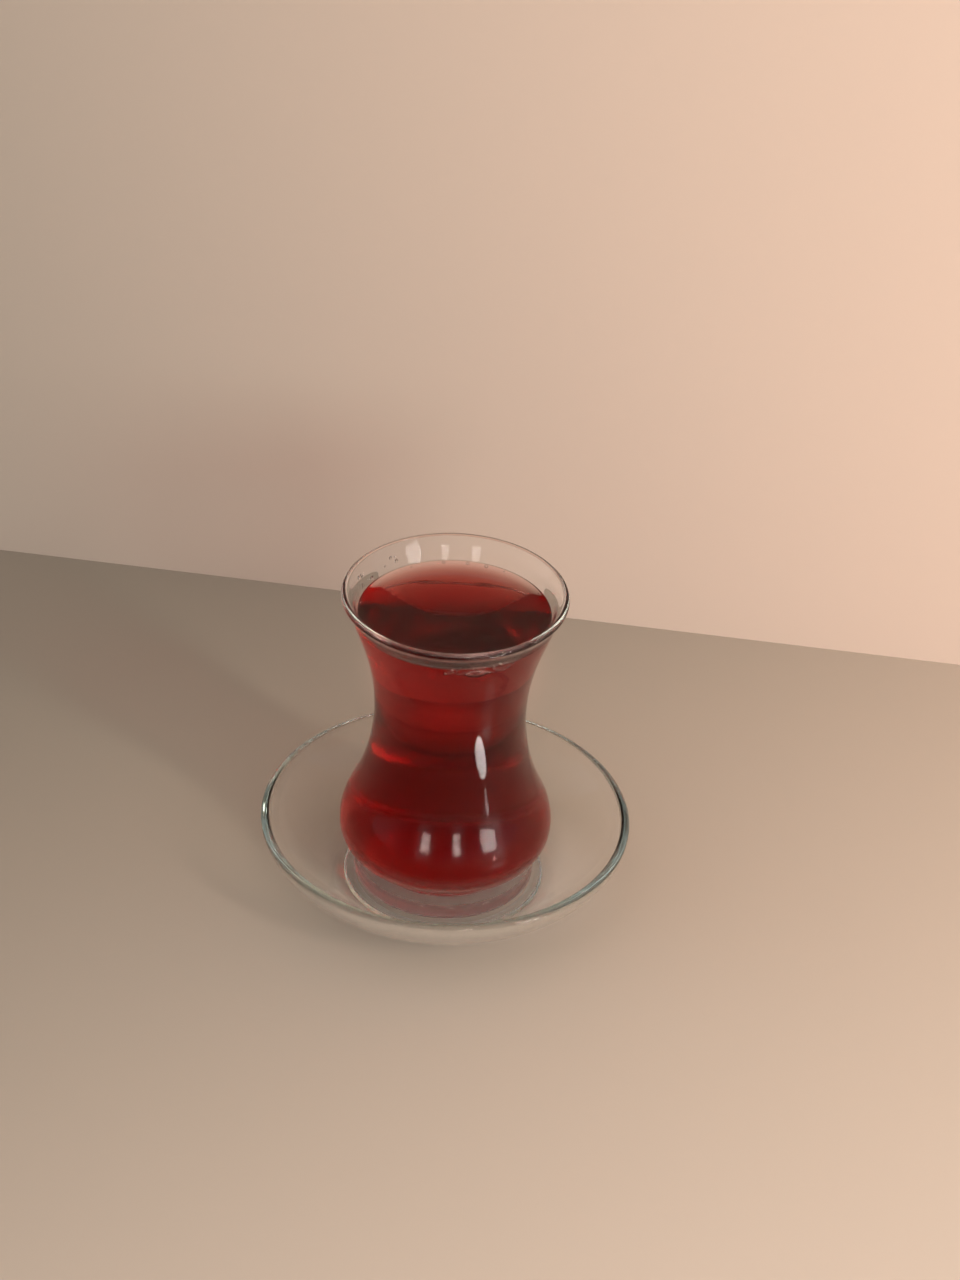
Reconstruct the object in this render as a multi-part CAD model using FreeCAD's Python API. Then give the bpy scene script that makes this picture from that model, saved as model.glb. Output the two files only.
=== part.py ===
import FreeCAD, Part
import math
import os

# A thin-waisted tea glass of hibiscus tea, standing on its clear glass saucer.
# Millimetres, +Z up. The origin is the centre of the saucer's foot ring, on the table.
# Every piece is turned about the Z axis: it is an outline in the X-Z plane, where X is the
# radius, revolved by a full turn.

# --- Saucer ----------------------------------------------------------------------------
SAUCER_RADIUS = 50.8        # widest point of the rim
SAUCER_HEIGHT = 21.6        # top of the rim above the table
SAUCER_RIM = 2.6            # thickness of the wall at its rounded rim
SAUCER_FLOOR = 3.3          # top of the flat well, which the glass stands on
WELL_RADIUS = 27.0          # flat part of the well
RING_INNER = 24.6           # foot ring that meets the table
RING_OUTER = 27.4
RING_HEIGHT = 0.9           # lifts the middle of the underside off the table
RING_ROUND = 0.7            # rounding of the ring's outer corner

# --- Glass: heights are above its own underside -----------------------------------------
GLASS_HEIGHT = 90.0
RIM_RADIUS = 30.0           # widest point of the rim
RIM_BEAD = 0.95             # radius of the fire-polished rim's rounding
RIM_LEAN = 36.0             # degrees by which the lip leans outward at the rim
FOOT_RADIUS = 25.0
FOOT_HEIGHT = 4.6           # thickness of the foot disc at its edge
FOOT_LOWER_ROUND = 1.0
FOOT_UPPER_ROUND = 1.3
REST_RADIUS = 20.0          # the underside is hollowed inside this radius
HOLLOW_DEPTH = 0.5          # depth of that hollow on the axis
GROOVE_RADIUS = 20.2        # bottom of the groove between foot and belly

# Outside of the body from the groove up to the rim: (height, radius).
BODY_OUTSIDE = (
    (7.4, 22.4),            # underside of the belly
    (8.8, 24.8),
    (12.3, 28.3),
    (16.3, 29.2),           # widest point of the belly
    (22.5, 28.1),
    (29.1, 25.2),
    (36.5, 22.7),
    (46.0, 20.9),
    (54.5, 20.5),           # narrowest point of the waist
    (67.4, 22.1),
    (77.2, 25.0),
    (84.0, 27.35),
    (87.0, 28.6),           # the lip turns out a little more below the rim
)
UNDER_BELLY = (1.0, 0.58)   # direction of the outline as it leaves the groove: (radius, height)

# Inside of the body. The first points are the rounded bottom, as (height, radius); above
# them the wall has a level thickness at some of the outside's heights.
BASE_THICKNESS = 7.0
INSIDE_BOTTOM = (
    (BASE_THICKNESS, 0.0),
    (7.2, 10.0),
    (8.5, 18.0),
    (11.2, 23.4),
    (14.4, 26.4),
)
BELLY_WALL = 2.1
WAIST_WALL = 1.8
FLARE_WALL = 1.7
BELLY_TOP = 30.0            # heights where one wall thickness gives way to the next
FLARE_START = 70.0

# --- Tea -----------------------------------------------------------------------------------
TEA_LEVEL = 82.7            # above the underside of the glass


def point(radius, height):
    return FreeCAD.Vector(radius, 0, height)


def lines(*corners):
    """Straight edges from each corner to the next."""
    pairs = zip(corners[:-1], corners[1:])
    return [Part.LineSegment(start, end).toShape() for start, end in pairs]


def arc(start, middle, end):
    return Part.Arc(start, middle, end).toShape()


def quarter_round(start, corner, end):
    """The arc that rounds a square corner, tangent to both of its sides."""
    to_centre = (start - corner) + (end - corner)
    middle = corner + to_centre * (1 - math.sqrt(0.5))
    return arc(start, middle, end)


def bezier(*poles):
    curve = Part.BezierCurve()
    curve.setPoles(list(poles))
    return curve.toShape()


def smooth(points, leaving, arriving):
    """One smooth curve through the points. Its ends have the given directions.

    The curve's parameter is its chord length, so a tangent of length one fits it unscaled.
    """
    ends = {"InitialTangent": leaving.normalize(), "FinalTangent": arriving.normalize()}
    curve = Part.BSplineCurve()
    curve.interpolate(points, Scale=False, **ends)
    return curve.toShape()


def turn(edges):
    """Revolves a closed outline into a solid."""
    outline = Part.Wire(Part.__sortEdges__(edges))
    shape = Part.Face(outline).revolve(FreeCAD.Vector(0, 0, 0), FreeCAD.Vector(0, 0, 1), 360)
    solid = Part.Solid(shape.Shells[0])
    if solid.Volume < 0:
        solid.reverse()
    return solid


def raised(outline, lift):
    """Turns (height, radius) pairs into points, lifted to where the piece stands."""
    return [point(radius, height + lift) for height, radius in outline]


def saucer():
    """A shallow round bowl with a rounded rim, a flat well and a foot ring."""
    bead = SAUCER_RIM / 2
    bead_z = SAUCER_HEIGHT - bead
    centre_top = point(0, SAUCER_FLOOR)
    centre_under = point(0, RING_HEIGHT)
    ring_root = point(RING_INNER - RING_HEIGHT, RING_HEIGHT)
    ring_start = point(RING_INNER, 0)
    ring_end = point(RING_OUTER - RING_ROUND, 0)
    ring_side = point(RING_OUTER, RING_ROUND)
    rim_outer = point(SAUCER_RADIUS, bead_z)
    rim_top = point(SAUCER_RADIUS - bead, SAUCER_HEIGHT)
    rim_inner = point(SAUCER_RADIUS - SAUCER_RIM, bead_z)
    well_end = point(WELL_RADIUS, SAUCER_FLOOR)

    underside = lines(centre_top, centre_under, ring_root, ring_start, ring_end)
    ring_round = quarter_round(ring_end, point(RING_OUTER, 0), ring_side)
    outside = bezier(ring_side, point(50.0, 11.2), rim_outer)
    rim = arc(rim_outer, rim_top, rim_inner)
    inside = bezier(rim_inner, point(47.2, 13.2), point(31.5, SAUCER_FLOOR), well_end)
    well = lines(well_end, centre_top)
    return turn(underside + [ring_round, outside, rim, inside] + well)


def rim_points(lift):
    """The rounded rim: where it leaves the outside, its crest, and where it meets the inside."""
    lean = math.radians(RIM_LEAN)
    across = FreeCAD.Vector(math.cos(lean), 0, -math.sin(lean)) * RIM_BEAD
    along = rim_direction() * RIM_BEAD
    centre = point(RIM_RADIUS - RIM_BEAD, lift + GLASS_HEIGHT - RIM_BEAD)
    return centre + across, centre + along, centre - across


def rim_direction():
    lean = math.radians(RIM_LEAN)
    return FreeCAD.Vector(math.sin(lean), 0, math.cos(lean))


def wall_thickness(height):
    if height < BELLY_TOP:
        return BELLY_WALL
    if height < FLARE_START:
        return WAIST_WALL
    return FLARE_WALL


def inside_edge(lift):
    """The glass's inside, one smooth curve from the axis up to the rim."""
    highest_bottom = INSIDE_BOTTOM[-1][0]
    walls = [(h, r - wall_thickness(h)) for h, r in BODY_OUTSIDE if h > highest_bottom]
    points = raised(INSIDE_BOTTOM + tuple(walls), lift) + [rim_points(lift)[2]]
    return smooth(points, FreeCAD.Vector(1, 0, 0), rim_direction())


def foot_edges(lift):
    """The hollowed underside, the foot disc and the groove above it."""
    hollow_top = point(0, lift + HOLLOW_DEPTH)
    hollow_middle = point(REST_RADIUS / 2, lift + HOLLOW_DEPTH * 0.75)
    rest_start = point(REST_RADIUS, lift)
    rest_end = point(FOOT_RADIUS - FOOT_LOWER_ROUND, lift)
    side_low = point(FOOT_RADIUS, lift + FOOT_LOWER_ROUND)
    side_high = point(FOOT_RADIUS, lift + FOOT_HEIGHT - FOOT_UPPER_ROUND)
    top_start = point(FOOT_RADIUS - FOOT_UPPER_ROUND, lift + FOOT_HEIGHT)
    groove_low = point(GROOVE_RADIUS, lift + FOOT_HEIGHT)
    body_height, body_radius = BODY_OUTSIDE[0]
    body_start = point(body_radius, lift + body_height)
    run_in = (body_radius - GROOVE_RADIUS) * 1.25
    groove_high = body_start - FreeCAD.Vector(UNDER_BELLY[0], 0, UNDER_BELLY[1]) * run_in

    hollow = arc(hollow_top, hollow_middle, rest_start)
    rest = lines(rest_start, rest_end)
    low_round = quarter_round(rest_end, point(FOOT_RADIUS, lift), side_low)
    side = lines(side_low, side_high)
    high_round = quarter_round(side_high, point(FOOT_RADIUS, lift + FOOT_HEIGHT), top_start)
    groove = bezier(top_start, groove_low, groove_high, body_start)
    return [hollow, low_round, high_round, groove] + rest + side


def tea_glass(lift):
    """Foot disc, groove, round belly, narrow waist and flared, rounded rim."""
    rim_outer, rim_crest, rim_inner = rim_points(lift)
    leaving = FreeCAD.Vector(UNDER_BELLY[0], 0, UNDER_BELLY[1])
    outside = smooth(raised(BODY_OUTSIDE, lift) + [rim_outer], leaving, rim_direction())
    rim = arc(rim_outer, rim_crest, rim_inner)
    axis = lines(point(0, lift + BASE_THICKNESS), point(0, lift + HOLLOW_DEPTH))
    return turn(foot_edges(lift) + [outside, rim, inside_edge(lift)] + axis)


def tea(lift):
    """The drink: it fills the glass's inside up to its level."""
    rim_inner = rim_points(lift)[2]
    lid = lines(rim_inner, point(0, rim_inner.z), point(0, lift + BASE_THICKNESS))
    brim_full = turn([inside_edge(lift)] + lid)
    above = Part.makeCylinder(RIM_RADIUS, GLASS_HEIGHT, point(0, lift + TEA_LEVEL))
    return brim_full.cut(above).Solids[0]


def main():
    os.makedirs("parts", exist_ok=True)
    pieces = {
        "saucer": saucer(),
        "tea_glass": tea_glass(SAUCER_FLOOR),
        "tea": tea(SAUCER_FLOOR),
    }
    for name, shape in pieces.items():
        shape.exportStep("parts/" + name + ".step")
        sound = shape.isValid() and shape.isClosed()
        print(name, "sound" if sound else "FAULTY", round(shape.Volume / 1000, 2), "ml")


main()
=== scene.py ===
# %% [markdown]
# # A glass of hibiscus tea
# A thin-waisted glass of dark red tea stands in a shallow glass saucer. Nearly all of its
# look is light that passes through clear and coloured layers: the round belly and the narrow
# waist bend the table and the wall behind them like lenses, and the drink filters them to red.
# So the lesson is mostly about clean turned shapes, honest layers of glass and liquid, and
# something quiet but structured for them to bend.

import math

import bmesh
import bpy
import numpy as np
from mathutils import Matrix, Vector


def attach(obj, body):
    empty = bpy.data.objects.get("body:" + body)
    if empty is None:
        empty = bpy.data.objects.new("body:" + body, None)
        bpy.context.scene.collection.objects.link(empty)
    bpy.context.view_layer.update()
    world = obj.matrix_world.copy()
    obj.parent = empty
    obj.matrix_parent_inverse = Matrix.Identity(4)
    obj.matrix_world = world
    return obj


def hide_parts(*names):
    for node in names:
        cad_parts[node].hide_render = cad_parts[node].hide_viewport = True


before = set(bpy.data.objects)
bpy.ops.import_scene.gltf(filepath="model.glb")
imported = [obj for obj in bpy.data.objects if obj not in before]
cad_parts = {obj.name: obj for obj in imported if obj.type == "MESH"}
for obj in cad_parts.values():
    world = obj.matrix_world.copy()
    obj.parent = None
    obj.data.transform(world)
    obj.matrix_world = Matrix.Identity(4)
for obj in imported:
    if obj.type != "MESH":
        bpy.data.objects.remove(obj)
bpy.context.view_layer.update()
MM = 0.001
scene = bpy.context.scene
print("nodes:", sorted(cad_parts))

# %% [markdown]
# ## Camera
# The camera looks down on the glass from standing height through a long lens, so the rim, the
# saucer and the foot are clean ellipses. It is aimed a little beside the axis and rolled by
# three degrees. Aim, distance and the two angles say it all, so it is built from those.

# %% Camera
AIM = Vector((7.0, 0.0, 78.6)) * MM
CAMERA_DISTANCE = 753.2 * MM
LOOK_DOWN = math.radians(33.8)
ROLL = math.radians(3.0)
LENS = 80.2


def add_camera():
    """Aims a camera, then backs it off along its own axis."""
    camera = bpy.data.objects.new("camera", bpy.data.cameras.new("camera"))
    camera.data.lens = LENS
    tilt = Matrix.Rotation(math.pi / 2 - LOOK_DOWN, 4, "X")
    roll = Matrix.Rotation(ROLL, 4, "Z")
    back = Matrix.Translation((0, 0, CAMERA_DISTANCE))
    camera.matrix_world = Matrix.Translation(AIM) @ tilt @ roll @ back
    scene.collection.objects.link(camera)
    scene.camera = camera


add_camera()
print("camera at", [round(c, 3) for c in scene.camera.matrix_world.translation])
scene.view_settings.view_transform = "Standard"

# %% [markdown]
# ## Node helpers
# Every finish here is made of shader nodes, and three moves come back each time: an empty
# material, a link and a ramp of colours. Small functions for them keep the recipes short.

# %% Node helpers
def new_material(name):
    """An empty node material with its output node."""
    material = bpy.data.materials.new(name)
    material.use_nodes = True
    nodes = material.node_tree.nodes
    nodes.clear()
    return material, nodes, nodes.new("ShaderNodeOutputMaterial")


def link(material, source, target):
    """Links two sockets of one material."""
    material.node_tree.links.new(source, target)


def ramp(nodes, stops):
    """A colour ramp node with the given (position, colour) stops."""
    node = nodes.new("ShaderNodeValToRGB")
    elements = node.color_ramp.elements
    while len(elements) < len(stops):
        elements.new(0.5)
    for element, (position, colour) in zip(elements, stops):
        element.position = position
        element.color = (*colour, 1)
    return node

# %% [markdown]
# ## Room and its paint
# Clear glass shows only its surroundings. A plain floor and one plain wall close behind the
# glass give it a pale tone above, a darker tone below and one line between them, and that line
# is what the rim, the waist and the tea's surface bend into curves. The wall's back is see-
# through, so the glass can be looked at from behind as well.
#
# The real table and wall change tone slowly from one side to the other, because the daylight
# comes from the front right. A tone ramp along that direction gives the same drift, and stays
# smooth at any size. Two soft patches are laid over the table: the red-warmed light the tea
# throws behind the glass, and the brightness that gathers under its foot. They are paint and
# not traced light, because light bent by glass onto a table takes far too long to render.

# %% Paint with soft patches
# A Mix node's colour sockets share their names with its value sockets, so they go by place.
MIX_FACTOR, MIX_A, MIX_B, MIX_RESULT = 0, 6, 7, 2
PAINT_SHEEN = 0.0               # matte: no mirror layer on table or wall


def lay_patch(material, place, under, patch):
    """Lays one soft elliptical patch over a colour, and returns the mixed colour."""
    centre, half, colour, strength = patch
    nodes = material.node_tree.nodes
    lay = nodes.new("ShaderNodeMapping")
    lay.vector_type = "TEXTURE"
    lay.inputs["Location"].default_value = centre
    lay.inputs["Scale"].default_value = half
    link(material, place.outputs["Object"], lay.inputs["Vector"])
    fade = nodes.new("ShaderNodeTexGradient")
    fade.gradient_type = "SPHERICAL"
    link(material, lay.outputs[0], fade.inputs["Vector"])
    amount = nodes.new("ShaderNodeMapRange")
    amount.interpolation_type = "SMOOTHSTEP"
    amount.inputs["To Max"].default_value = strength
    link(material, fade.outputs["Fac"], amount.inputs["Value"])
    over = nodes.new("ShaderNodeMix")
    over.data_type = "RGBA"
    over.inputs[MIX_B].default_value = (*colour, 1)
    link(material, amount.outputs[0], over.inputs[MIX_FACTOR])
    link(material, under, over.inputs[MIX_A])
    return over.outputs[MIX_RESULT]


def room_material(name, shaded_tone, lit_tone, tones, along, roughness, patches=()):
    """A surface painted with daylight: it turns from a cooler shaded tone to a warmer lit tone
    along a direction.
    """
    material, nodes, output = new_material(name)
    place = nodes.new("ShaderNodeTexCoord")
    reach = nodes.new("ShaderNodeVectorMath")
    reach.operation = "DOT_PRODUCT"
    reach.inputs[1].default_value = along
    link(material, place.outputs["Object"], reach.inputs[0])
    across = nodes.new("ShaderNodeMapRange")
    across.interpolation_type = "SMOOTHSTEP"
    across.inputs["From Min"].default_value = tones[0]
    across.inputs["From Max"].default_value = tones[1]
    link(material, reach.outputs["Value"], across.inputs["Value"])
    tone = ramp(nodes, [(0, shaded_tone), (1, lit_tone)])
    link(material, across.outputs[0], tone.inputs[0])
    shade = tone.outputs[0]
    for patch in patches:
        shade = lay_patch(material, place, shade, patch)
    paint = nodes.new("ShaderNodeBsdfPrincipled")
    paint.inputs["Roughness"].default_value = roughness
    paint.inputs["Specular IOR Level"].default_value = PAINT_SHEEN
    link(material, shade, paint.inputs["Base Color"])
    link(material, paint.outputs[0], output.inputs["Surface"])
    return material


def hide_back(material):
    """Lets the surface be seen from its front only."""
    nodes = material.node_tree.nodes
    output = next(n for n in nodes if n.type == "OUTPUT_MATERIAL")
    paint = next(n for n in nodes if n.type == "BSDF_PRINCIPLED")
    side = nodes.new("ShaderNodeNewGeometry")
    clear = nodes.new("ShaderNodeBsdfTransparent")
    mix = nodes.new("ShaderNodeMixShader")
    link(material, side.outputs["Backfacing"], mix.inputs[0])
    link(material, paint.outputs[0], mix.inputs[1])
    link(material, clear.outputs[0], mix.inputs[2])
    link(material, mix.outputs[0], output.inputs["Surface"])

# %% [markdown]
# ## Floor and wall
# Two plain rectangles are enough. The wall stands a hand's breadth behind the glass and is
# turned a little, so the line between table and wall slopes as it does on the real table.

# %% Floor and wall
# Painted light: floor and wall are painted darker on the side away from the windows and lighter
# toward them.
FLOOR_SHADED_SIDE = (0.30, 0.255, 0.20)
FLOOR_LIT_SIDE = (0.78, 0.63, 0.50)
WALL_SHADED_SIDE = (0.38, 0.33, 0.27)
WALL_LIT_SIDE = (0.74, 0.57, 0.46)
FLOOR_TONES = (-0.22, 0.30)     # metres along the ramp at which it starts and ends
WALL_TONES = (-0.30, 0.22)
TOWARD_WINDOWS = Vector((0.75, -0.66, 0.0))
ALONG_WALL = (1, 0, 0)
FLOOR_ROUGHNESS = 0.35
WALL_ROUGHNESS = 0.6
# Soft patches on the floor: centre, half-widths, colour, strength in the middle.
TEA_GLOW = ((0.0, 0.105, 0.0), (0.034, 0.055, 1.0), (0.95, 0.60, 0.48), 0.55)
FOOT_LIGHT = ((0.006, 0.002, 0.0), (0.048, 0.040, 1.0), (1.0, 0.86, 0.74), 1.0)
FLOOR_SIZE = 8.0
FLOOR_SINK = -0.05 * MM         # just under the saucer's foot ring, so they never coincide
WALL_PLACE = Vector((0, 137.0, 0)) * MM
WALL_TURN = math.radians(-7.0)
WALL_HALF_WIDTH = 0.42
WALL_HEIGHT = 1.1


def flat_piece(name, corners, material):
    """One flat face that belongs to the stage and not to the object."""
    mesh = bpy.data.meshes.new(name)
    mesh.from_pydata(corners, [], [range(len(corners))])
    mesh.materials.append(material)
    piece = bpy.data.objects.new(name, mesh)
    scene.collection.objects.link(piece)
    return piece


def add_room():
    """The table and the wall behind it."""
    half = FLOOR_SIZE / 2
    z = FLOOR_SINK
    corners = [(-half, -half, z), (half, -half, z), (half, half, z), (-half, half, z)]
    paint = room_material(
        "floor with painted light", FLOOR_SHADED_SIDE, FLOOR_LIT_SIDE, FLOOR_TONES, TOWARD_WINDOWS, FLOOR_ROUGHNESS,
        (TEA_GLOW, FOOT_LIGHT),
    )
    flat_piece("floor", corners, paint)
    w, h = WALL_HALF_WIDTH, WALL_HEIGHT
    corners = [(-w, 0, z), (w, 0, z), (w, 0, h), (-w, 0, h)]
    paint = room_material(
        "wall with painted light", WALL_SHADED_SIDE, WALL_LIT_SIDE, WALL_TONES, ALONG_WALL, WALL_ROUGHNESS
    )
    hide_back(paint)
    wall = flat_piece("wall", corners, paint)
    wall.matrix_world = Matrix.Translation(WALL_PLACE) @ Matrix.Rotation(WALL_TURN, 4, "Z")
    facing = wall.matrix_world.to_3x3() @ wall.data.polygons[0].normal
    print("wall faces", [round(c, 2) for c in facing])


add_room()

# %% [markdown]
# ## Light
# Daylight comes from three tall windows in front of the glass. Each one shows as a pale upright
# mark inside the rim and on the belly. Area lamps are the right tool for that, because the
# lamp's shape is what the glass reflects. The panes make only those marks. One wide lamp and a
# low sun light the table, so that marks and table can be set apart from each other.

# %% Windows, daylight and sun
# Lamps: name, degrees right of the camera, degrees above the table, width, height, radiance.
WINDOWS = (
    ("window right", 49, 13.0, 0.42, 0.44, 30.0),
    ("window middle", 14, 14.5, 0.18, 0.32, 30.0),
    ("window left", -19.5, 14.5, 0.22, 0.31, 28.0),
)
DAYLIGHT = ("daylight", 25, 14.5, 0.80, 0.34, 10.0)
SUN = ("low sun", 48, 31, 0.08, 0.45, 50.0)
LAMP_DISTANCE = 1.5
WINDOW_COLOUR = (1.0, 0.93, 0.88)
SUN_COLOUR = (1.0, 0.91, 0.82)


def add_lamp(name, bearing, height_angle, width, height, radiance, colour):
    """A lamp that looks at the glass. An area lamp's radiance is its power over pi and its area."""
    lamp = bpy.data.lights.new(name, "AREA")
    lamp.shape = "RECTANGLE"
    lamp.size = width
    lamp.size_y = height
    lamp.energy = radiance * math.pi * width * height
    lamp.color = colour
    bearing = math.radians(bearing)
    lift = math.radians(height_angle)
    level = math.cos(lift)
    toward = Vector((math.sin(bearing) * level, -math.cos(bearing) * level, math.sin(lift)))
    holder = bpy.data.objects.new(name, lamp)
    turn = toward.to_track_quat("Z", "Y").to_matrix().to_4x4()
    holder.matrix_world = Matrix.Translation(toward * LAMP_DISTANCE) @ turn
    scene.collection.objects.link(holder)
    print(name, round(lamp.energy, 1), "W at", [round(c, 2) for c in toward * LAMP_DISTANCE])
    return holder


for window in WINDOWS:
    pane = add_lamp(*window, WINDOW_COLOUR)
    pane.visible_diffuse = False
daylight = add_lamp(*DAYLIGHT, WINDOW_COLOUR)
daylight.visible_glossy = False
daylight.visible_transmission = False
sun = add_lamp(*SUN, SUN_COLOUR)
sun.visible_transmission = False

# %% [markdown]
# ## A window's image in the table
# The real table is polished and mirrors the right window, and the round of the waist shows that
# image as a tall highlight. A polished floor was tried, but it drew streaks of every window over
# the belly. So the table is matte, and two strips of light lie just above it where the image
# would be. Only reflections see them, and they light nothing else.

# %% Strips of light
# Strips: name, near end, far end, width, radiance, in millimetres.
TABLE_IMAGES = (
    ("window in the table, near", (56, -63, 0.5), (104, -95, 0.5), 27, 28.0),
    ("window in the table, far", (125, -108, 0.5), (420, -330, 0.5), 20, 14.0),
)


def add_table_image(name, near, far, width, radiance):
    """A flat strip of light that faces up and that only mirrors see."""
    lamp = bpy.data.lights.new(name, "AREA")
    near, far = Vector(near) * MM, Vector(far) * MM
    lamp.shape = "ELLIPSE"
    lamp.size = (far - near).length
    lamp.size_y = width * MM
    lamp.energy = radiance * math.pi * lamp.size * lamp.size_y
    lamp.color = WINDOW_COLOUR
    holder = bpy.data.objects.new(name, lamp)
    turn = (far - near).to_track_quat("X", "Z").to_matrix().to_4x4()
    face_up = Matrix.Rotation(math.pi, 4, "X")
    holder.matrix_world = Matrix.Translation((near + far) / 2) @ turn @ face_up
    holder.visible_camera = False
    holder.visible_diffuse = False
    holder.visible_transmission = False
    scene.collection.objects.link(holder)
    print(name, round(lamp.size / MM), "mm long")


for image in TABLE_IMAGES:
    add_table_image(*image)

# %% [markdown]
# ## Room light
# The rest of the light is pale and even, and a plain world gives it. The side of the room by
# the camera is unlit, and glass shows it as dark bands in its rim and over the tea. So mirrored
# and bent rays see a darker world on that side, while the table is lit evenly.

# %% World
ROOM_LIGHT = (0.765, 0.755, 0.77)
UNLIT_SIDE = Vector((0.0, -0.94, 0.34))
UNLIT_EDGE = (0.35, 0.80)    # cosines between which the room darkens toward that side
UNLIT_LEVEL = 0.22
BOUNCES = 32                 # a ray crosses many layers of glass and tea before it leaves
GLOSSY_BOUNCES = 24


def add_world():
    """Even pale light, but glass and mirrors also see the unlit side of the room by the camera."""
    world = bpy.data.worlds.new("room light")
    world.use_nodes = True
    nodes = world.node_tree.nodes
    links = world.node_tree.links
    background = nodes["Background"]
    background.inputs["Color"].default_value = (*ROOM_LIGHT, 1)
    place = nodes.new("ShaderNodeTexCoord")
    facing = nodes.new("ShaderNodeVectorMath")
    facing.operation = "DOT_PRODUCT"
    facing.inputs[1].default_value = UNLIT_SIDE
    links.new(place.outputs["Generated"], facing.inputs[0])
    shade = nodes.new("ShaderNodeMapRange")
    shade.interpolation_type = "SMOOTHSTEP"
    shade.inputs["From Min"].default_value = UNLIT_EDGE[0]
    shade.inputs["From Max"].default_value = UNLIT_EDGE[1]
    shade.inputs["To Min"].default_value = 1.0
    shade.inputs["To Max"].default_value = UNLIT_LEVEL
    links.new(facing.outputs["Value"], shade.inputs["Value"])
    path = nodes.new("ShaderNodeLightPath")
    for_glass = nodes.new("ShaderNodeMath")
    for_glass.operation = "MAXIMUM"
    links.new(path.outputs["Is Glossy Ray"], for_glass.inputs[0])
    links.new(path.outputs["Is Transmission Ray"], for_glass.inputs[1])
    choose = nodes.new("ShaderNodeMix")
    choose.inputs["A"].default_value = 1.0
    links.new(for_glass.outputs[0], choose.inputs["Factor"])
    links.new(shade.outputs[0], choose.inputs["B"])
    links.new(choose.outputs[0], background.inputs["Strength"])
    scene.world = world


add_world()
scene.cycles.max_bounces = BOUNCES
scene.cycles.transmission_bounces = BOUNCES
scene.cycles.glossy_bounces = GLOSSY_BOUNCES
scene.cycles.transparent_max_bounces = BOUNCES

# %% [markdown]
# ## Turned shapes
# Glass and saucer come from moulds that are bodies of revolution, and the tea takes the
# glass's shape. Their outlines are already in the frame, so they are cut out of it rather
# than drawn again: the node's mesh is cut in the X-Z plane, and the half with positive X is
# the outline. It is then turned on a mesh lathe. Subdivision rounds the last hard corners,
# as fire-polishing does.

# %% Cut an outline out of a frame node
ON_PLANE = 1e-7              # metres off a plane that still count as on it
NEAR_PLANE = ON_PLANE * 2
SAME_POINT = 1e-6


def outline(node):
    """The node's outline as (radius, height) pairs, from the axis below it to the axis on top."""
    mesh = bmesh.new()
    mesh.from_mesh(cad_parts[node].data)
    bmesh.ops.remove_doubles(mesh, verts=mesh.verts, dist=SAME_POINT)
    for normal in ((0, 1, 0), (1, 0, 0)):
        everything = mesh.verts[:] + mesh.edges[:] + mesh.faces[:]
        bmesh.ops.bisect_plane(
            mesh, geom=everything, dist=ON_PLANE, plane_co=(0, 0, 0), plane_no=normal
        )
    half = {v for v in mesh.verts if abs(v.co.y) < NEAR_PLANE and v.co.x > -NEAR_PLANE}
    here = min((v for v in half if v.co.x < NEAR_PLANE), key=lambda v: v.co.z)
    path = [here]
    seen = {here}
    while True:
        ahead = [e.other_vert(here) for e in here.link_edges if e.other_vert(here) in half]
        ahead = [v for v in ahead if v not in seen]
        if not ahead:
            break
        here = max(ahead, key=lambda v: v.co.x) if len(path) == 1 else ahead[0]
        path.append(here)
        seen.add(here)
    points = [(max(v.co.x, 0.0), v.co.z) for v in path]
    mesh.free()
    return points


for node in ("saucer", "tea_glass", "tea"):
    points = outline(node)
    print(node, len(points), "outline points, from", [round(c / MM, 2) for c in points[0]],
          "to", [round(c / MM, 2) for c in points[-1]])

# %% [markdown]
# ## Even steps and a lathe
# The outline's points crowd on curves and lie far apart on straight stretches. Subdivision rounds
# over whole steps, so long stretches are split first and crowded points thinned. The lathe puts
# one point on the axis at each end and rings between them. A screw modifier would also turn the
# outline, but this keeps the skin watertight, which the absorption inside the glass needs.

# %% Even out and turn an outline
def split_long(points, longest):
    """Adds points on long straight stretches, so that subdivision rounds only their corners."""
    out = [points[0]]
    for a, b in zip(points[:-1], points[1:]):
        length = math.dist(a, b)
        parts = max(1, math.ceil(length / longest))
        for i in range(1, parts + 1):
            t = i / parts
            out.append((a[0] + (b[0] - a[0]) * t, a[1] + (b[1] - a[1]) * t))
    return out


def merge_close(points, shortest):
    """Drops points that lie closer to the last kept one than shortest, and keeps the ends."""
    out = [points[0]]
    for p in points[1:-1]:
        if math.dist(out[-1], p) >= shortest:
            out.append(p)
    if math.dist(out[-1], points[-1]) < shortest:
        out.pop()
    return out + [points[-1]]


def turned(name, points, segments):
    """A closed body of revolution about Z; the outline starts and ends on the axis."""
    ring_points = points[1:-1]
    verts = [(0, 0, points[0][1]), (0, 0, points[-1][1])]
    for radius, height in ring_points:
        for i in range(segments):
            a = 2 * math.pi * i / segments
            verts.append((radius * math.cos(a), radius * math.sin(a), height))
    faces = []
    last = 2 + (len(ring_points) - 1) * segments
    for i in range(segments):
        j = (i + 1) % segments
        faces.append((0, 2 + j, 2 + i))
        faces.append((1, last + i, last + j))
        for ring in range(len(ring_points) - 1):
            low = 2 + ring * segments
            faces.append((low + i, low + j, low + segments + j, low + segments + i))
    mesh = bpy.data.meshes.new(name)
    mesh.from_pydata(verts, [], faces)
    mesh.validate()
    piece = bpy.data.objects.new(name, mesh)
    scene.collection.objects.link(piece)
    return piece


def smooth_over(piece):
    """One level of subdivision, applied, and smooth shading."""
    piece.modifiers.new("round", "SUBSURF").levels = 1
    depsgraph = bpy.context.evaluated_depsgraph_get()
    mesh = bpy.data.meshes.new_from_object(piece.evaluated_get(depsgraph))
    piece.modifiers.clear()
    piece.data = mesh
    mesh.shade_smooth()
    print(piece.name, len(mesh.polygons), "faces")

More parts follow.
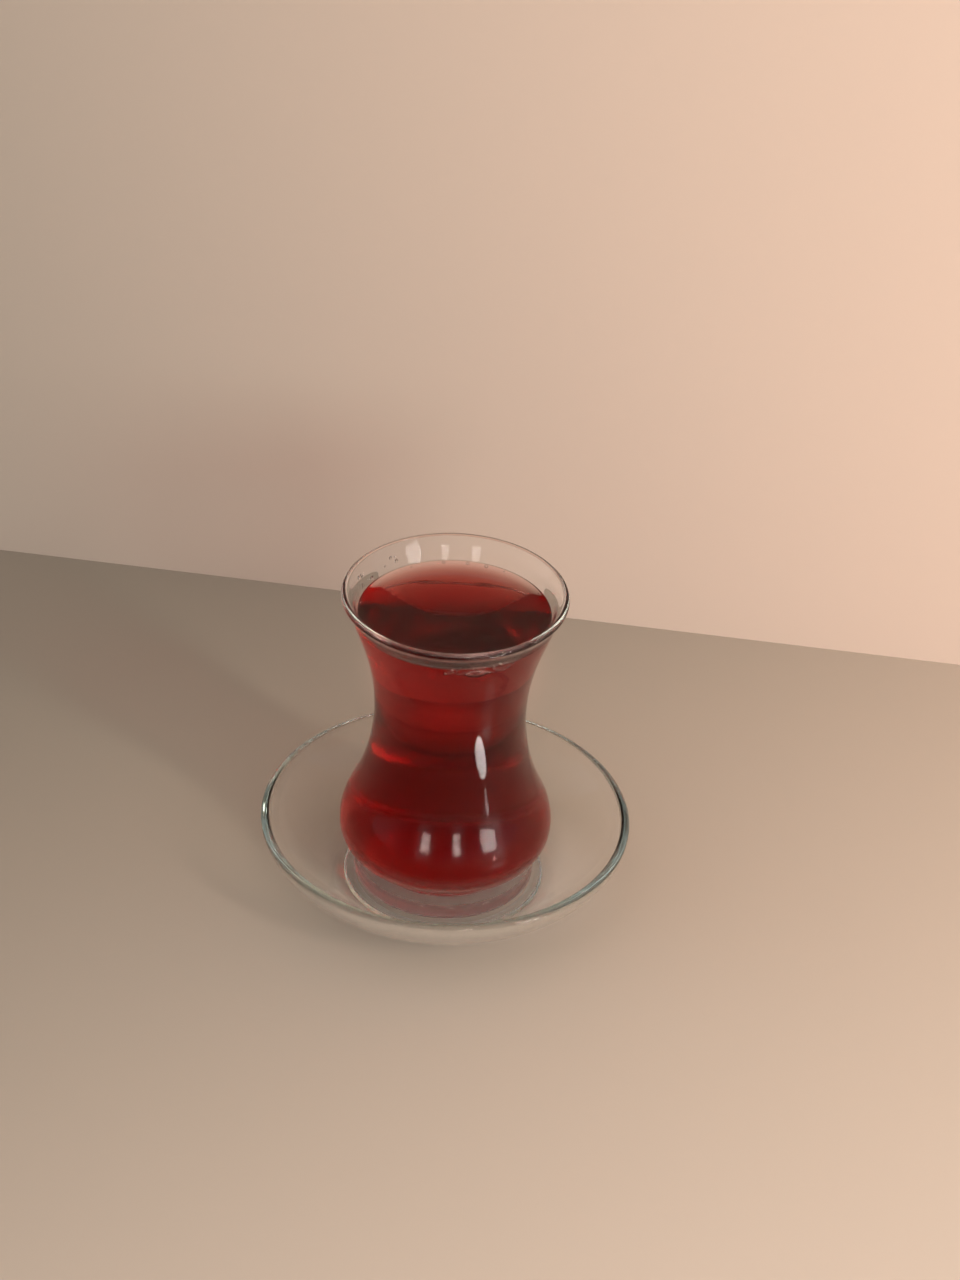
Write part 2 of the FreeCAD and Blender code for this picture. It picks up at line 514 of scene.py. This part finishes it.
# %% [markdown]
# ## Finishes that glass shares
# Real tableware glass isn't perfect: it has slow ripples from the mould, wiped smears that dull
# a reflection here and there, and a worn ring where it stands. Each is a shader node group, so
# that the glass, the saucer and the tea share them with their own values.

# %% Group helpers
def new_group(name, inputs, outputs):
    """An empty shader node group with named value sockets."""
    group = bpy.data.node_groups.new(name, "ShaderNodeTree")
    for socket, value in inputs:
        made = group.interface.new_socket(socket, in_out="INPUT", socket_type="NodeSocketFloat")
        made.default_value = value
    for socket in outputs:
        group.interface.new_socket(socket, in_out="OUTPUT", socket_type="NodeSocketFloat")
    return group, group.nodes.new("NodeGroupInput"), group.nodes.new("NodeGroupOutput")


def place_group(nodes, group, **values):
    """A node that uses the group, with its sockets set by name."""
    node = nodes.new("ShaderNodeGroup")
    node.node_tree = group
    for socket, value in values.items():
        node.inputs[socket.replace("_", " ")].default_value = value
    return node

# %% [markdown]
# ## Mould ripple
# The mould leaves waves a centimetre or two long that bend a reflection and can't be felt. They
# are low noise under the bump, as true relief that shallow would need a far finer mesh.

# %% Mould ripple
def mould_ripple_group():
    """Slow waves over the surface, as a height from 0 to 1."""
    group, given, result = new_group("mould ripple", [("Waves per metre", 60.0)], ["Height"])
    place = group.nodes.new("ShaderNodeTexCoord")
    noise = group.nodes.new("ShaderNodeTexNoise")
    noise.inputs["Detail"].default_value = 1.0
    noise.inputs["Roughness"].default_value = 0.4
    group.links.new(place.outputs["Object"], noise.inputs["Vector"])
    group.links.new(given.outputs["Waves per metre"], noise.inputs["Scale"])
    group.links.new(noise.outputs[0], result.inputs["Height"])
    return group


MOULD_RIPPLE = mould_ripple_group()

# %% [markdown]
# ## Wiped smears
# A cloth leaves dull streaks that run around the glass. Noise that is squeezed in height makes
# such streaks, and a soft threshold leaves clean glass between them.

# %% Wiped smears
SMEAR_SQUEEZE = (1.0, 1.0, 3.5)
SMEAR_EDGE = (0.48, 0.72)       # noise levels between which clean turns to smeared


def wiped_smears_group():
    """Roughness between clean and smeared, in soft streaks that run around the glass."""
    sockets = [("Clean", 0.0), ("Smeared", 0.05), ("Streaks per metre", 45.0)]
    group, given, result = new_group("wiped smears", sockets, ["Roughness"])
    place = group.nodes.new("ShaderNodeTexCoord")
    stretch = group.nodes.new("ShaderNodeMapping")
    stretch.inputs["Scale"].default_value = SMEAR_SQUEEZE
    noise = group.nodes.new("ShaderNodeTexNoise")
    noise.inputs["Detail"].default_value = 5.0
    noise.inputs["Distortion"].default_value = 0.6
    mask = group.nodes.new("ShaderNodeMapRange")
    mask.interpolation_type = "SMOOTHSTEP"
    mask.inputs["From Min"].default_value = SMEAR_EDGE[0]
    mask.inputs["From Max"].default_value = SMEAR_EDGE[1]
    group.links.new(place.outputs["Object"], stretch.inputs["Vector"])
    group.links.new(stretch.outputs[0], noise.inputs["Vector"])
    group.links.new(given.outputs["Streaks per metre"], noise.inputs["Scale"])
    group.links.new(noise.outputs[0], mask.inputs["Value"])
    group.links.new(given.outputs["Clean"], mask.inputs["To Min"])
    group.links.new(given.outputs["Smeared"], mask.inputs["To Max"])
    group.links.new(mask.outputs[0], result.inputs["Roughness"])
    return group


WIPED_SMEARS = wiped_smears_group()

# %% [markdown]
# ## Worn underside
# The underside and the ring a piece stands on are taken to be scratched dull by use. A mask by
# height and by distance from the axis needs no painting and fits any turned piece. The tea uses
# the same mask for its cloudy lower part.

# %% Worn underside
def worn_below_group():
    """1 below a height and outside a radius, 0 elsewhere: where a piece rubs on its support."""
    sockets = [("Worn below", 0.001), ("Fade", 0.0002), ("Worn outside", 0.0)]
    group, given, result = new_group("worn below", sockets, ["Mask"])
    place = group.nodes.new("ShaderNodeTexCoord")
    split = group.nodes.new("ShaderNodeSeparateXYZ")
    flatten = group.nodes.new("ShaderNodeVectorMath")
    flatten.operation = "MULTIPLY"
    flatten.inputs[1].default_value = (1, 1, 0)
    radius = group.nodes.new("ShaderNodeVectorMath")
    radius.operation = "LENGTH"
    outside = group.nodes.new("ShaderNodeMath")
    outside.operation = "GREATER_THAN"
    above = group.nodes.new("ShaderNodeMath")
    above.operation = "ADD"
    below = group.nodes.new("ShaderNodeMapRange")
    below.inputs["To Min"].default_value = 1.0
    below.inputs["To Max"].default_value = 0.0
    both = group.nodes.new("ShaderNodeMath")
    both.operation = "MULTIPLY"
    group.links.new(place.outputs["Object"], split.inputs[0])
    group.links.new(place.outputs["Object"], flatten.inputs[0])
    group.links.new(flatten.outputs[0], radius.inputs[0])
    group.links.new(radius.outputs["Value"], outside.inputs[0])
    group.links.new(given.outputs["Worn outside"], outside.inputs[1])
    group.links.new(split.outputs["Z"], below.inputs["Value"])
    group.links.new(given.outputs["Worn below"], below.inputs["From Min"])
    group.links.new(given.outputs["Worn below"], above.inputs[0])
    group.links.new(given.outputs["Fade"], above.inputs[1])
    group.links.new(above.outputs[0], below.inputs["From Max"])
    group.links.new(below.outputs[0], both.inputs[0])
    group.links.new(outside.outputs[0], both.inputs[1])
    group.links.new(both.outputs[0], result.inputs["Mask"])
    return group


WORN_BELOW = worn_below_group()

# %% [markdown]
# ## Light through glass and tea
# Glass and tea let most light on to the table and to each other. A path tracer finds a lamp
# behind bent glass only by chance, so for shadow rays and for rays that left a dull surface both
# bodies count as flat windows that dim toward their edges. Tracing the bent light truly would be
# more exact, and far too slow.

# %% Clear bodies that let lamps through
# How much lamp light a wall of glass lets on, by how much the wall is seen edge-on.
GLASS_PASSES = (
    (0.00, (0.98, 0.98, 0.98)),
    (0.30, (0.93, 0.94, 0.93)),
    (0.65, (0.60, 0.62, 0.60)),
    (1.00, (0.15, 0.16, 0.15)),
)
TEA_PASSES = ((0.0, (0.98, 0.98, 0.98)), (1.0, (0.90, 0.90, 0.90)))


def finish_clear(material, nodes, output, body, tint, density, passes):
    """Adds the absorption inside, and lets light from lamps and from the room straight through."""
    absorb = nodes.new("ShaderNodeVolumeAbsorption")
    absorb.inputs["Color"].default_value = (*tint, 1)
    absorb.inputs["Density"].default_value = density
    link(material, absorb.outputs[0], output.inputs["Volume"])
    path = nodes.new("ShaderNodeLightPath")
    edge_on = nodes.new("ShaderNodeLayerWeight")
    dimming = ramp(nodes, passes)
    link(material, edge_on.outputs["Facing"], dimming.inputs[0])
    clear = nodes.new("ShaderNodeBsdfTransparent")
    link(material, dimming.outputs[0], clear.inputs["Color"])
    for ray in ("Is Diffuse Ray", "Is Shadow Ray"):
        mix = nodes.new("ShaderNodeMixShader")
        link(material, path.outputs[ray], mix.inputs[0])
        link(material, body, mix.inputs[1])
        link(material, clear.outputs[0], mix.inputs[2])
        body = mix.outputs[0]
    link(material, body, output.inputs["Surface"])

# %% [markdown]
# ## Two kinds of glass
# Both are clear soda glass. The Principled shader carries its surface, and the absorption adds
# the faint grey-green that gathers where a ray runs a long way through an edge. The saucer's
# glass is taken to be greener and more rippled. The mirror is weaker than a polished surface
# has: a full one lays a grey veil over the dark tea, which the real glass doesn't show.

# %% Glass materials
GLASS_IOR = 1.5
GLASS_MIRROR = 0.12
WORN_ROUGHNESS = 0.40        # on the whole underside
FOOT_ROUGHNESS = 0.45        # more of it on the ring the glass stands on
FOOT_RING = 16.0 * MM


def glass_material(name, waves, ripple_depth, smeared, worn_below, tint, density):
    """Clear tinted glass that is rippled, smeared, and worn below a height."""
    material, nodes, output = new_material(name)
    shader = nodes.new("ShaderNodeBsdfPrincipled")
    shader.inputs["Base Color"].default_value = (1, 1, 1, 1)
    shader.inputs["Transmission Weight"].default_value = 1.0
    shader.inputs["IOR"].default_value = GLASS_IOR
    shader.inputs["Specular Tint"].default_value = (GLASS_MIRROR, GLASS_MIRROR, GLASS_MIRROR, 1)
    smears = place_group(nodes, WIPED_SMEARS, Smeared=smeared)
    total = smears.outputs[0]
    for ring, amount in ((0.0, WORN_ROUGHNESS), (FOOT_RING, FOOT_ROUGHNESS)):
        worn = place_group(nodes, WORN_BELOW, Worn_below=worn_below, Worn_outside=ring)
        rough = nodes.new("ShaderNodeMath")
        rough.operation = "MULTIPLY_ADD"
        rough.inputs[1].default_value = amount
        link(material, worn.outputs[0], rough.inputs[0])
        link(material, total, rough.inputs[2])
        total = rough.outputs[0]
    link(material, total, shader.inputs["Roughness"])
    ripple = place_group(nodes, MOULD_RIPPLE, Waves_per_metre=waves)
    bump = nodes.new("ShaderNodeBump")
    bump.inputs["Distance"].default_value = ripple_depth
    link(material, ripple.outputs[0], bump.inputs["Height"])
    link(material, bump.outputs[0], shader.inputs["Normal"])
    finish_clear(material, nodes, output, shader.outputs[0], tint, density, GLASS_PASSES)
    return material


CLEAR_GLASS = glass_material(
    "clear glass", waves=55.0, ripple_depth=0.03 * MM, smeared=0.02,
    worn_below=3.95 * MM, tint=(0.88, 0.92, 0.89), density=20.0,
)
SAUCER_GLASS = glass_material(
    "saucer glass", waves=40.0, ripple_depth=0.06 * MM, smeared=0.04,
    worn_below=0.05 * MM, tint=(0.70, 0.78, 0.72), density=20.0,
)
print("glass materials:", CLEAR_GLASS.name, "and", SAUCER_GLASS.name)

# %% [markdown]
# ## Saucer and glass
# Both are turned from their outlines. The glass stands a hair's breadth off the saucer: two
# dry pieces of glass never touch all over, and two surfaces in one place can't be rendered.

# %% Turn the saucer and the glass
LONGEST_STEP = 1.3 * MM
SHORTEST_STEP = 0.18 * MM
AIR_GAP = 0.03 * MM
SEGMENTS = 72


def add_turned(name, node, material, lift=0.0):
    """Turns a node's outline and puts the piece in the node's place."""
    points = merge_close(split_long(outline(node), LONGEST_STEP), SHORTEST_STEP)
    piece = turned(name, [(r, z + lift) for r, z in points], SEGMENTS)
    smooth_over(piece)
    piece.data.materials.append(material)
    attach(piece, "root")
    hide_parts(node)


add_turned("saucer_turned", "saucer", SAUCER_GLASS)
add_turned("glass_turned", "tea_glass", CLEAR_GLASS, AIR_GAP)

# %% [markdown]
# ## The tea's shape
# The tea fills the glass, so its outline is the solid's with two changes. It reaches just into
# the wall, so no air shows between them. And its surface climbs the glass in a small curve, the
# meniscus, which is drawn as a curve that dies away from the wall.

# %% Tea outline
INTO_WALL = 0.12 * MM
MENISCUS_RISE = 1.1 * MM
MENISCUS_REACH = 1.3 * MM   # distance over which the curve dies away
AT_LEVEL = 0.01 * MM        # points this near the level count as on it
EDGE_POINTS = 24
EDGE_REACH = 6              # millimetres of surface that the curve's points cover
EDGE_CROWDING = 1.5         # above 1 the points crowd toward the wall
FLAT_RINGS = 18


def tea_points():
    """The drink's outline: pushed into the wall, with the curved edge of its surface."""
    points = merge_close(split_long(outline("tea"), LONGEST_STEP), SHORTEST_STEP)
    level = max(z for r, z in points)
    side = [p for p in points if p[1] < level - AT_LEVEL or p[0] < AT_LEVEL][:-1]
    pushed = [side[0]]
    for before, here, after in zip(side[:-2], side[1:-1], side[2:]):
        along = Vector(after) - Vector(before)
        out = Vector((along.y, -along.x)).normalized() * INTO_WALL
        pushed.append((here[0] + out.x, here[1] + out.y))
    slope = Vector(side[-1]) - Vector(side[-3])
    slope /= slope.y
    edge = max(r for r, z in points if z > level - AT_LEVEL) + INTO_WALL
    top = (edge + slope.x * MENISCUS_RISE, level + MENISCUS_RISE)
    surface = []
    for i in range(EDGE_POINTS):
        away = (i / (EDGE_POINTS - 1)) ** EDGE_CROWDING * EDGE_REACH * MM
        height = MENISCUS_RISE * math.exp(-away / MENISCUS_REACH)
        surface.append((top[0] - away, level + height))
    inner = surface[-1][0]
    flat = [(inner * (1 - i / FLAT_RINGS), level) for i in range(1, FLAT_RINGS + 1)]
    pushed[0] = (0.0, pushed[0][1] - INTO_WALL)
    return pushed + surface + flat


print("tea outline", len(tea_points()), "points")

# %% [markdown]
# ## The tea's colour
# Hibiscus tea is nearly clear, and its colour is all depth: a few millimetres are pink, two
# centimetres are orange-red and the whole belly is nearly black. One absorption for the whole
# body gives all of that, where a painted colour would be the same at every depth. The belly also
# has a slight haze, a guess that makes it as smooth as the real one.

# %% Tea material and piece
WATER_IOR = 1.333
TEA_TINT = (0.885, 0.10, 0.02)
TEA_DENSITY = 245.0
TEA_CLEAR_ROUGHNESS = 0.04
TEA_HAZE = 0.14             # roughness added in the belly
HAZE_BELOW = 48.0 * MM
HAZE_FADE = 18.0 * MM
TEA_MIRROR = 0.05


def tea_material():
    """Red tea: clear above, slightly hazy in the belly."""
    material, nodes, output = new_material("hibiscus tea")
    shader = nodes.new("ShaderNodeBsdfPrincipled")
    shader.inputs["Base Color"].default_value = (1, 1, 1, 1)
    shader.inputs["Transmission Weight"].default_value = 1.0
    shader.inputs["IOR"].default_value = WATER_IOR
    haze = place_group(nodes, WORN_BELOW, Worn_below=HAZE_BELOW, Fade=HAZE_FADE)
    rough = nodes.new("ShaderNodeMath")
    rough.operation = "MULTIPLY_ADD"
    rough.inputs[1].default_value = TEA_HAZE
    rough.inputs[2].default_value = TEA_CLEAR_ROUGHNESS
    link(material, haze.outputs[0], rough.inputs[0])
    link(material, rough.outputs[0], shader.inputs["Roughness"])
    shader.inputs["Specular Tint"].default_value = (TEA_MIRROR, TEA_MIRROR, TEA_MIRROR, 1)
    finish_clear(material, nodes, output, shader.outputs[0], TEA_TINT, TEA_DENSITY, TEA_PASSES)
    return material


def add_tea():
    """Turns the tea's outline and puts the piece in the solid's place."""
    piece = turned("tea_poured", tea_points(), SEGMENTS)
    smooth_over(piece)
    piece.data.materials.append(tea_material())
    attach(piece, "root")
    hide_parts("tea")


add_tea()

# %% [markdown]
# ## Bubbles and drops
# Pouring leaves a crowd of tiny bubbles at the near wall, a few lone ones at the far edge, a
# flat pocket of air pressed against the glass and some splashed drops above the tea. Particles
# are dropped when the scene is handed over, so each kind is one mesh of small balls at their true
# size. They are placed by bearing and height, and the wall's inner radius is read from the glass.

# %% Balls joined into one mesh
BALL_RINGS = 10
BALL_SEGMENTS = 16


def ball(mesh, centre, size, turn, inward=False):
    """Adds an ellipsoid to a bmesh: size holds its three half-axes."""
    matrix = Matrix.Translation(centre) @ turn.to_4x4() @ Matrix.Diagonal((*size, 1))
    made = bmesh.ops.create_uvsphere(
        mesh, u_segments=BALL_SEGMENTS, v_segments=BALL_RINGS, radius=1.0, matrix=matrix
    )
    if inward:
        faces = {f for v in made["verts"] for f in v.link_faces}
        bmesh.ops.reverse_faces(mesh, faces=list(faces))


def on_wall(bearing, height, inset):
    """A point inset from the glass's inner wall; bearing is in degrees right of the camera."""
    radius = np.interp(height, *WALL_INSIDE) - inset
    angle = math.radians(bearing)
    return Vector((radius * math.sin(angle), -radius * math.cos(angle), height))


def facing_wall(bearing):
    """A turn whose X axis points out through the wall."""
    return Matrix.Rotation(math.radians(bearing) - math.pi / 2, 3, "Z")


def inside_wall():
    """Heights and inner radii of the glass, for interpolation."""
    points = outline("tea_glass")
    top = max(range(len(points)), key=lambda i: points[i][1])
    inner = sorted((z + AIR_GAP, r) for r, z in points[top:])
    return [z for z, r in inner], [r for z, r in inner]


def balls_piece(name, mesh, material):
    """Turns a bmesh of balls into one smooth piece on the root body."""
    data = bpy.data.meshes.new(name)
    mesh.to_mesh(data)
    mesh.free()
    data.shade_smooth()
    data.materials.append(material)
    piece = bpy.data.objects.new(name, data)
    scene.collection.objects.link(piece)
    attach(piece, "root")
    print(name, len(data.polygons), "faces")


WALL_INSIDE = inside_wall()
TEA_SURFACE = max(z for r, z in outline("tea"))
print("tea surface at", round(TEA_SURFACE / MM, 2), "mm")

# %% [markdown]
# ## What the balls are made of
# Bubbles and drops have no colour of their own. Only the bend of light at their skin shows them,
# so one clear material serves all, with the index of water for films and drops, and its inverse
# for air that is surrounded by tea.

# %% Bubble material
AIR_IN_WATER_IOR = 0.75      # a ray that leaves the tea for air bends as 1 to 1.333
UPRIGHT = Matrix.Identity(3)


def film_material(name, ior):
    """Clear and smooth, with the refraction of what the ball is made of."""
    material, nodes, output = new_material(name)
    shader = nodes.new("ShaderNodeBsdfPrincipled")
    shader.inputs["Base Color"].default_value = (1, 1, 1, 1)
    shader.inputs["Transmission Weight"].default_value = 1.0
    shader.inputs["IOR"].default_value = ior
    shader.inputs["Roughness"].default_value = 0.0
    link(material, shader.outputs[0], output.inputs["Surface"])
    return material

# %% [markdown]
# ## Lone bubbles
# These stand above the tea's far edge, half out of it, and are thin films around air. A film is
# an outer ball and an inner one turned inside out, as a single ball would be a drop.

# %% Lone bubbles
# Bubbles: bearing in degrees, radius in millimetres.
LONERS = (
    (-171, 0.42), (174, 0.46), (162, 0.50), (-150, 0.26), (150, 0.24), (118, 0.3), (-96, 0.25),
)
LONER_INSET = 0.15           # millimetres between bubble and wall
LONER_ON_CURVE = 0.5         # how far up the meniscus a bubble sits
LONER_RAISED = 0.4           # part of its radius that it is raised
FILM_INSIDE = 0.86           # inner skin's radius by the outer's


def add_loners():
    """Thin-skinned bubbles that ride on the meniscus."""
    mesh = bmesh.new()
    for bearing, radius in LONERS:
        height = TEA_SURFACE + (MENISCUS_RISE * LONER_ON_CURVE + radius * LONER_RAISED * MM)
        centre = on_wall(bearing, height, (radius + LONER_INSET) * MM)
        ball(mesh, centre, (radius * MM,) * 3, UPRIGHT)
        ball(mesh, centre, (radius * FILM_INSIDE * MM,) * 3, UPRIGHT, inward=True)
    balls_piece("lone_bubbles", mesh, film_material("bubble film", WATER_IOR))


add_loners()

# %% [markdown]
# ## Froth
# Small bubbles crowd where the tea meets the near wall, mostly tiny with a larger one here and
# there. They lie in the tea, where a thin film can't be seen, so each is a plain ball of air. They
# are spread evenly along the wall with a random shift, as pure chance would leave holes.

# %% Froth
SEED = 7
CLUSTER = (-4.0, 38.0)       # bearings between which the bubbles crowd
CLUSTER_COUNT = 60
SMALL_RADII = (0.17, 0.36)   # millimetres
LARGE_RADII = (0.38, 0.5)
LARGE_EVERY = 6
FROTH_DEPTHS = (-0.3, 1.5)   # millimetres under the level
FROTH_INSET = 0.16


def add_froth(rng):
    """Balls of air in the tea along the near wall."""
    mesh = bmesh.new()
    for i in range(CLUSTER_COUNT):
        bearing = CLUSTER[0] + (CLUSTER[1] - CLUSTER[0]) * (i + rng.uniform(0, 1)) / CLUSTER_COUNT
        radius = rng.uniform(*SMALL_RADII) if i % LARGE_EVERY else rng.uniform(*LARGE_RADII)
        height = TEA_SURFACE - rng.uniform(*FROTH_DEPTHS) * MM
        centre = on_wall(bearing, height, (radius + FROTH_INSET) * MM)
        ball(mesh, centre, (radius * MM,) * 3, UPRIGHT)
    balls_piece("froth", mesh, film_material("froth air", AIR_IN_WATER_IOR))


rng = np.random.default_rng(SEED)
add_froth(rng)

# %% [markdown]
# ## Air pocket
# One larger bubble is pressed flat against the near wall under the froth. A flattened ball that
# is turned to face the wall is all it needs.

# %% Air pocket
POCKET_BEARING = 15.5
POCKET_HALF_AXES = (0.7, 3.0, 1.15)   # millimetres: through the wall, along it, up
POCKET_DEPTH = 1.3                    # millimetres under the level
POCKET_INSET = 0.8


def add_pocket():
    """One flattened ball of air against the wall."""
    mesh = bmesh.new()
    centre = on_wall(POCKET_BEARING, TEA_SURFACE - POCKET_DEPTH * MM, POCKET_INSET * MM)
    half_axes = tuple(c * MM for c in POCKET_HALF_AXES)
    ball(mesh, centre, half_axes, facing_wall(POCKET_BEARING))
    balls_piece("air_pocket", mesh, film_material("air in tea", AIR_IN_WATER_IOR))


add_pocket()

# %% [markdown]
# ## Splashed drops
# A few drops cling to the wall above the tea, flat against it and a little longer than wide, as
# their weight draws them down. Each is a flattened ball of water, half sunk in the wall.

# %% Splashed drops
SPLASH = (-142.0, -104.0)    # bearings between which the drops lie
SPLASH_COUNT = 13
DROP_HEIGHTS = (1.8, 5.6)    # millimetres above the level
DROP_SIZES = (0.22, 0.55)    # half-widths in millimetres
DROP_STRETCH = (1.0, 1.5)    # height by width
DROP_FLATNESS = 0.4          # thickness by width
DROP_INSET = 0.02


def add_drops(rng):
    """Flattened balls of water on the inner wall."""
    mesh = bmesh.new()
    for i in range(SPLASH_COUNT):
        bearing = rng.uniform(*SPLASH)
        height = TEA_SURFACE + rng.uniform(*DROP_HEIGHTS) * MM
        size = rng.uniform(*DROP_SIZES)
        stretch = rng.uniform(*DROP_STRETCH)
        centre = on_wall(bearing, height, DROP_INSET * MM)
        half_axes = (size * DROP_FLATNESS * MM, size * MM, size * stretch * MM)
        ball(mesh, centre, half_axes, facing_wall(bearing))
    balls_piece("splashed_drops", mesh, film_material("splashed drop", WATER_IOR))


add_drops(rng)

# %% [markdown]
# ## Last update
# The view layer is updated once more, so every piece's place is current.

# %% Last update
bpy.context.view_layer.update()
